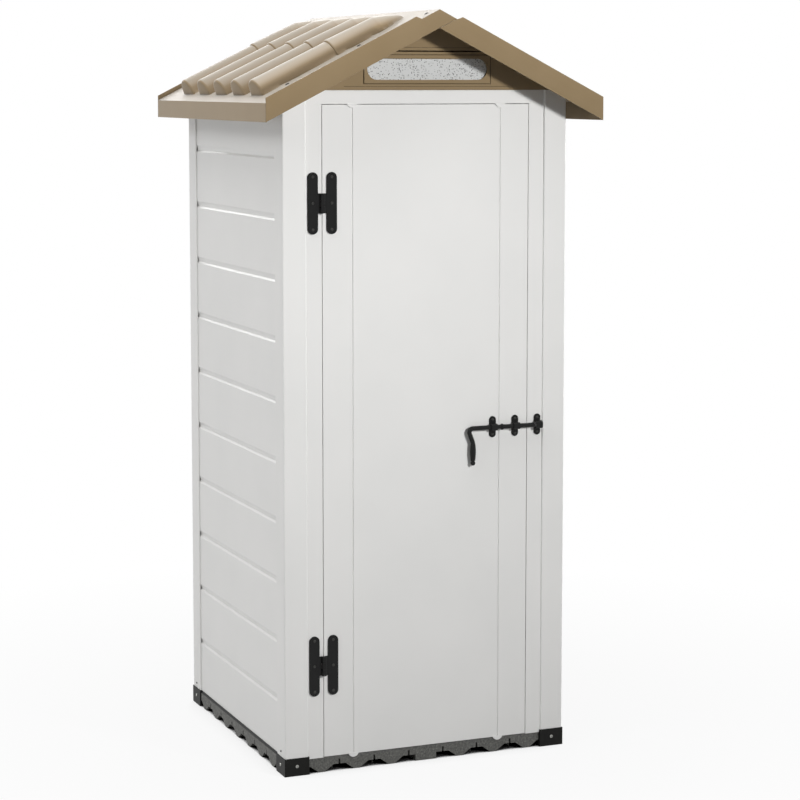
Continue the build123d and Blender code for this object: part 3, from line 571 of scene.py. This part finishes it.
def screw_steel(name, colour, smooth, rough):
    """Steel under a thin finish, which the driver and the weather have rubbed unevenly."""
    material, tree, place = start_material(name)
    wear = add(tree, "ShaderNodeTexNoise", {"Scale": 1000 / 2.0, "Detail": 3.0}, {"Vector": place})
    rub = add(tree, "ShaderNodeMapRange", {"To Min": smooth, "To Max": rough}, {"Value": wear.outputs["Fac"]})
    surface = add(
        tree,
        "ShaderNodeBsdfPrincipled",
        {"Base Color": linear(colour), "Metallic": 1.0},
        {"Roughness": rub.outputs["Result"]},
    )
    add(tree, "ShaderNodeOutputMaterial", {}, {"Surface": surface.outputs["BSDF"]})
    return material


# Zinc shows a cloudy gleam, and oiled black only a dull one.
zinc = screw_steel("steel, zinc plated", "#9A9A96", 0.25, 0.5)
blackened = screw_steel("steel, blackened and oiled", "#484846", 0.3, 0.5)

# One head, of radius 1 and height 1, is set on every seat at that screw's own radius.
heads = bpy.data.node_groups.new("screw_heads", "GeometryNodeTree")
socket_ids = {}
for label, kind, value in (
    ("Seats", "NodeSocketGeometry", None),
    ("Head height", "NodeSocketFloat", 0.002),
    ("Recess width", "NodeSocketFloat", 0.26),
    ("Seed", "NodeSocketInt", 4),
    ("Finish", "NodeSocketMaterial", None),
):
    made = heads.interface.new_socket(label, in_out="INPUT", socket_type=kind)
    socket_ids[label] = made.identifier
    if value is not None:
        made.default_value = value
heads.interface.new_socket("Heads", in_out="OUTPUT", socket_type="NodeSocketGeometry")
given = add(heads, "NodeGroupInput").outputs
rim = add(
    heads,
    "GeometryNodeMeshCone",
    {"Vertices": 28, "Radius Top": 0.95, "Radius Bottom": 1.0, "Depth": 0.5},
)
crown = add(
    heads,
    "GeometryNodeMeshCone",
    {"Vertices": 28, "Radius Top": 0.62, "Radius Bottom": 0.95, "Depth": 0.5},
)
raised = add(
    heads,
    "GeometryNodeTransform",
    {"Translation": (0, 0, 0.4999)},
    {"Geometry": crown.outputs["Mesh"]},
)
pan = add(heads, "GeometryNodeMeshBoolean", {"operation": "UNION"})
for solid in (rim.outputs["Mesh"], raised.outputs["Geometry"]):
    heads.links.new(solid, pan.inputs["Mesh 2"])
recess = add(heads, "GeometryNodeMeshBoolean", {"operation": "DIFFERENCE"}, {"Mesh 1": pan.outputs["Mesh"]})
for turn in (0, math.pi / 2):
    blade_size = add(heads, "ShaderNodeCombineXYZ", {"X": 1.0, "Z": 1.0}, {"Y": given["Recess width"]})
    blade = add(heads, "GeometryNodeMeshCube", {}, {"Size": blade_size.outputs["Vector"]})
    placed = {"Translation": (0, 0, 0.98), "Rotation": (0, 0, turn)}
    cut = add(heads, "GeometryNodeTransform", placed, {"Geometry": blade.outputs["Mesh"]})
    heads.links.new(cut.outputs["Geometry"], recess.inputs["Mesh 2"])
facing = add(heads, "GeometryNodeInputNamedAttribute", {"data_type": "FLOAT_VECTOR", "Name": "facing"})
radius = add(heads, "GeometryNodeInputNamedAttribute", {"data_type": "FLOAT", "Name": "radius"})
upright = add(
    heads,
    "FunctionNodeAlignRotationToVector",
    {"axis": "Z"},
    {"Vector": facing.outputs["Attribute"]},
)
scale = add(
    heads,
    "ShaderNodeCombineXYZ",
    {},
    {"X": radius.outputs["Attribute"], "Y": radius.outputs["Attribute"], "Z": given["Head height"]},
)
seated = add(
    heads,
    "GeometryNodeInstanceOnPoints",
    {},
    {
        "Points": given["Seats"],
        "Instance": recess.outputs["Mesh"],
        "Rotation": upright.outputs["Rotation"],
        "Scale": scale.outputs["Vector"],
    },
)
angle = add(heads, "FunctionNodeRandomValue", {"data_type": "FLOAT", 2: 0.0, 3: 1.5}, {"Seed": given["Seed"]})
spin = add(heads, "ShaderNodeCombineXYZ", {}, {"Z": angle.outputs[1]})
driven = add(
    heads,
    "GeometryNodeRotateInstances",
    {},
    {"Instances": seated.outputs["Instances"], "Rotation": spin.outputs["Vector"]},
)
real = add(heads, "GeometryNodeRealizeInstances", {}, {"Geometry": driven.outputs["Instances"]})
coated = add(
    heads,
    "GeometryNodeSetMaterial",
    {},
    {"Geometry": real.outputs["Geometry"], "Material": given["Finish"]},
)
add(heads, "NodeGroupOutput", {}, {0: coated.outputs["Geometry"]})


def drive_screws(name, seats, finish, body, slot, *nodes):
    """Screw heads on seats of (place, way out, radius), as one mesh that replaces those CAD nodes."""
    places, ways_out, radii = zip(*seats)
    mesh = bpy.data.meshes.new(name)
    mesh.from_pydata(places, [], [])
    facing = mesh.attributes.new("facing", "FLOAT_VECTOR", "POINT")
    facing.data.foreach_set("vector", [part for way_out in ways_out for part in way_out])
    mesh.attributes.new("radius", "FLOAT", "POINT").data.foreach_set("value", radii)
    screws = bpy.data.objects.new(name, mesh)
    bpy.context.scene.collection.objects.link(screws)
    maker = screws.modifiers.new("heads", "NODES")
    maker.node_group = heads
    maker[socket_ids["Finish"]] = finish
    made = bpy.data.meshes.new_from_object(screws.evaluated_get(bpy.context.evaluated_depsgraph_get()))
    screws.modifiers.clear()
    screws.data = made
    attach(screws, body)
    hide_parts(*nodes)


bracket_screw_z, bracket_screw_radius = 0.026, 0.0046
post_screw_z, post_screw_radius = 0.062, 0.003
bracket_seats, post_seats = [], []
for corner, side_x, side_y in (
    ("front_left", -1, -1),
    ("front_right", 1, -1),
    ("rear_left", -1, 1),
    ("rear_right", 1, 1),
):
    low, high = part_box(f"bracket_{corner}")
    middle = (low + high) / 2
    end_y = low.y if side_y < 0 else high.y
    end_x = low.x if side_x < 0 else high.x
    bracket_seats.append(((middle.x, end_y, bracket_screw_z), (0, side_y, 0), bracket_screw_radius))
    bracket_seats.append(((end_x, middle.y, bracket_screw_z), (side_x, 0, 0), bracket_screw_radius))
    low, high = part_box(f"post_{corner}")
    post_x = low.x if side_x < 0 else high.x
    post_seats.append(((post_x, middle.y, post_screw_z), (side_x, 0, 0), post_screw_radius))
drive_screws("bright_bracket_screws", bracket_seats, zinc, "shed", "bright_screw", "bracket_screws")

roof_screw_radius = 0.006
gable_screw_distances = (0.105, 0.326)  # up the slope from the eave
gable_screw_inset = 0.0235
ridge_screw_x, ridge_screw_inset = 0.021, 0.040
gable_front, gable_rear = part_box("front_gable")[0].y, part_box("rear_gable")[1].y
roof_seats = []
for side in (-1, 1):
    for distance in gable_screw_distances:
        for y in (gable_front + gable_screw_inset, gable_rear - gable_screw_inset):
            place = (side * (eave_x - distance * run), y, ridge_z - (slope_length - distance) * climb)
            roof_seats.append((place, (side * climb, 0, run), roof_screw_radius))
for y in (-roof_y + ridge_screw_inset, 0, roof_y - ridge_screw_inset):
    roof_seats.append(((-ridge_screw_x, y, roof_top(ridge_screw_x)), (-climb, 0, run), roof_screw_radius))
drive_screws(
    "dark_shell_screws",
    post_seats + roof_seats,
    blackened,
    "shed",
    "dark_screw",
    "post_screws",
    "roof_screws",
)

leaf_half_width, leaf_thickness = 0.014, 0.0035
hinge_screw_rises, hinge_screw_radius = (-0.0685, 0, 0.0685), 0.004
staple_foot_thickness = 0.0025
staple_screw_rises, staple_screw_radius = (-0.01925, 0.01925), 0.0036
frame_seats, door_seats = [], []
for hinge in ("upper_hinge", "lower_hinge"):
    for leaf, seats in (("frame_leaf", frame_seats), ("door_leaf", door_seats)):
        low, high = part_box(f"{hinge}_{leaf}")
        leaf_x = low.x + leaf_half_width if leaf == "frame_leaf" else high.x - leaf_half_width
        for rise in hinge_screw_rises:
            place = (leaf_x, high.y - leaf_thickness, (low.z + high.z) / 2 + rise)
            seats.append((place, (0, -1, 0), hinge_screw_radius))
for staple, seats in (
    ("bolt_keeper", frame_seats),
    ("bolt_staple_inner", door_seats),
    ("bolt_staple_outer", door_seats),
):
    low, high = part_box(staple)
    for rise in staple_screw_rises:
        place = ((low.x + high.x) / 2, high.y - staple_foot_thickness, (low.z + high.z) / 2 + rise)
        seats.append((place, (0, -1, 0), staple_screw_radius))
drive_screws(
    "hinge_and_keeper_screws",
    frame_seats,
    blackened,
    "shed",
    "black_metal",
    "hinge_frame_screws",
    "keeper_screws",
)
drive_screws(
    "door_hardware_screws",
    door_seats,
    blackened,
    "door",
    "black_metal",
    "hinge_door_screws",
    "staple_screws",
)

# Studio
# A sheet of pale paper that stays white to the camera but keeps the shed's soft shadow at its foot, partly
# real shadow and partly painted shade.
# Six soft lamps and a faint glow from all round light it plainly, and the camera stands as in the photo.

floor_mesh = bpy.data.meshes.new("studio_floor")
reach = 14.0
corners = [(-reach, -reach, 0), (reach, -reach, 0), (reach, reach, 0), (-reach, reach, 0)]
floor_mesh.from_pydata(corners, [], [(0, 1, 2, 3)])
floor = bpy.data.objects.new("studio_floor", floor_mesh)
bpy.context.scene.collection.objects.link(floor)
paper, tree, place = start_material("studio paper")
rays = add(tree, "ShaderNodeLightPath").outputs
seen = add(
    tree,
    "ShaderNodeMath",
    {"operation": "MAXIMUM"},
    {0: rays["Is Camera Ray"], 1: rays["Is Glossy Ray"]},
)
away = add(tree, "ShaderNodeVectorMath", {"operation": "LENGTH"}, {0: place})
fade = add(
    tree,
    "ShaderNodeMapRange",
    {"From Min": 0.6, "From Max": 2.2, "To Min": 0.92, "To Max": 1.0},
    {"Value": away.outputs["Value"]},
)
white_share = add(tree, "ShaderNodeMath", {"operation": "MULTIPLY"}, {0: seen.outputs[0], 1: fade.outputs[0]})
# The paper's glow is dimmed where occlusion is high, under and right beside the shed: painted shade.
under = add(tree, "ShaderNodeAmbientOcclusion", {"samples": 8, "Distance": 0.12})
glow_with_painted_shade = add(tree, "ShaderNodeMapRange", {"From Min": 0.32, "From Max": 0.52}, {"Value": under.outputs["AO"]})
matt = add(tree, "ShaderNodeBsdfDiffuse", {"Color": linear("#A4A4A4")})
glow = add(tree, "ShaderNodeEmission", {"Color": linear("#FFFFFF")}, {"Strength": glow_with_painted_shade.outputs[0]})
both = add(
    tree,
    "ShaderNodeMixShader",
    {},
    {0: white_share.outputs[0], 1: matt.outputs[0], 2: glow.outputs[0]},
)
add(tree, "ShaderNodeOutputMaterial", {}, {"Surface": both.outputs[0]})
floor_mesh.materials.append(paper)

world = bpy.data.worlds.new("studio")
bpy.context.scene.world = world
world.use_nodes = True
tree = world.node_tree
tree.nodes.clear()
rays = add(tree, "ShaderNodeLightPath").outputs
seen = rays["Is Camera Ray"]
for kind in ("Is Glossy Ray", "Is Transmission Ray"):
    seen = add(tree, "ShaderNodeMath", {"operation": "MAXIMUM"}, {0: seen, 1: rays[kind]}).outputs[0]
ambient = add(tree, "ShaderNodeBackground", {"Color": linear("#FFFFFF"), "Strength": 0.03})
white = add(tree, "ShaderNodeBackground", {"Color": linear("#FFFFFF"), "Strength": 1.0})
both = add(tree, "ShaderNodeMixShader", {}, {0: seen, 1: ambient.outputs[0], 2: white.outputs[0]})
add(tree, "ShaderNodeOutputWorld", {}, {"Surface": both.outputs[0]})

key_spread, open_spread = math.radians(74), math.radians(180)  # the key has a grid before it
for name, place, aim, size, power in (  # metres and watts
    ("key", (2.2, -5.0, 2.75), (-0.95, -0.4, 1.4), (0.6, 0.6), 44),
    ("side", (-5.5, -1.2, 5.0), (-0.2, -0.2, 1.0), (2.4, 2.4), 118),
    ("fill", (-4.2, 0.4, 0.5), (-0.4, 0.0, 0.5), (1.4, 1.4), 38),
    ("top", (-0.9, -0.4, 4.6), (0, 0, 1.9), (2.4, 2.4), 90),
    ("rear", (1.0, 5.0, 3.7), (0.0, 0.0, 1.6), (5.0, 3.0), 260),
    ("right", (4.6, 1.2, 1.6), (0.4, 0.0, 1.0), (1.6, 1.6), 45),
):
    lamp = bpy.data.lights.new(name, "AREA")
    lamp.shape = "RECTANGLE"
    lamp.size, lamp.size_y = size
    lamp.energy = power
    lamp.spread = key_spread if name == "key" else open_spread
    softbox = bpy.data.objects.new(name, lamp)
    softbox.location = place
    softbox.visible_glossy = name != "key"
    softbox.rotation_euler = (Vector(aim) - Vector(place)).to_track_quat("-Z", "Y").to_euler()
    bpy.context.scene.collection.objects.link(softbox)

lens = bpy.data.cameras.new("camera")
lens.sensor_width = 36.0
lens.lens = 103.03
lens.shift_y = -0.1
camera = bpy.data.objects.new("camera", lens)
camera.location = (-2.3538, -5.9617, 1.8249)
camera.rotation_euler = (math.radians(84.064), 0, math.radians(-22.257))
bpy.context.scene.collection.objects.link(camera)
bpy.context.scene.camera = camera
bpy.context.scene.view_settings.view_transform = "Standard"
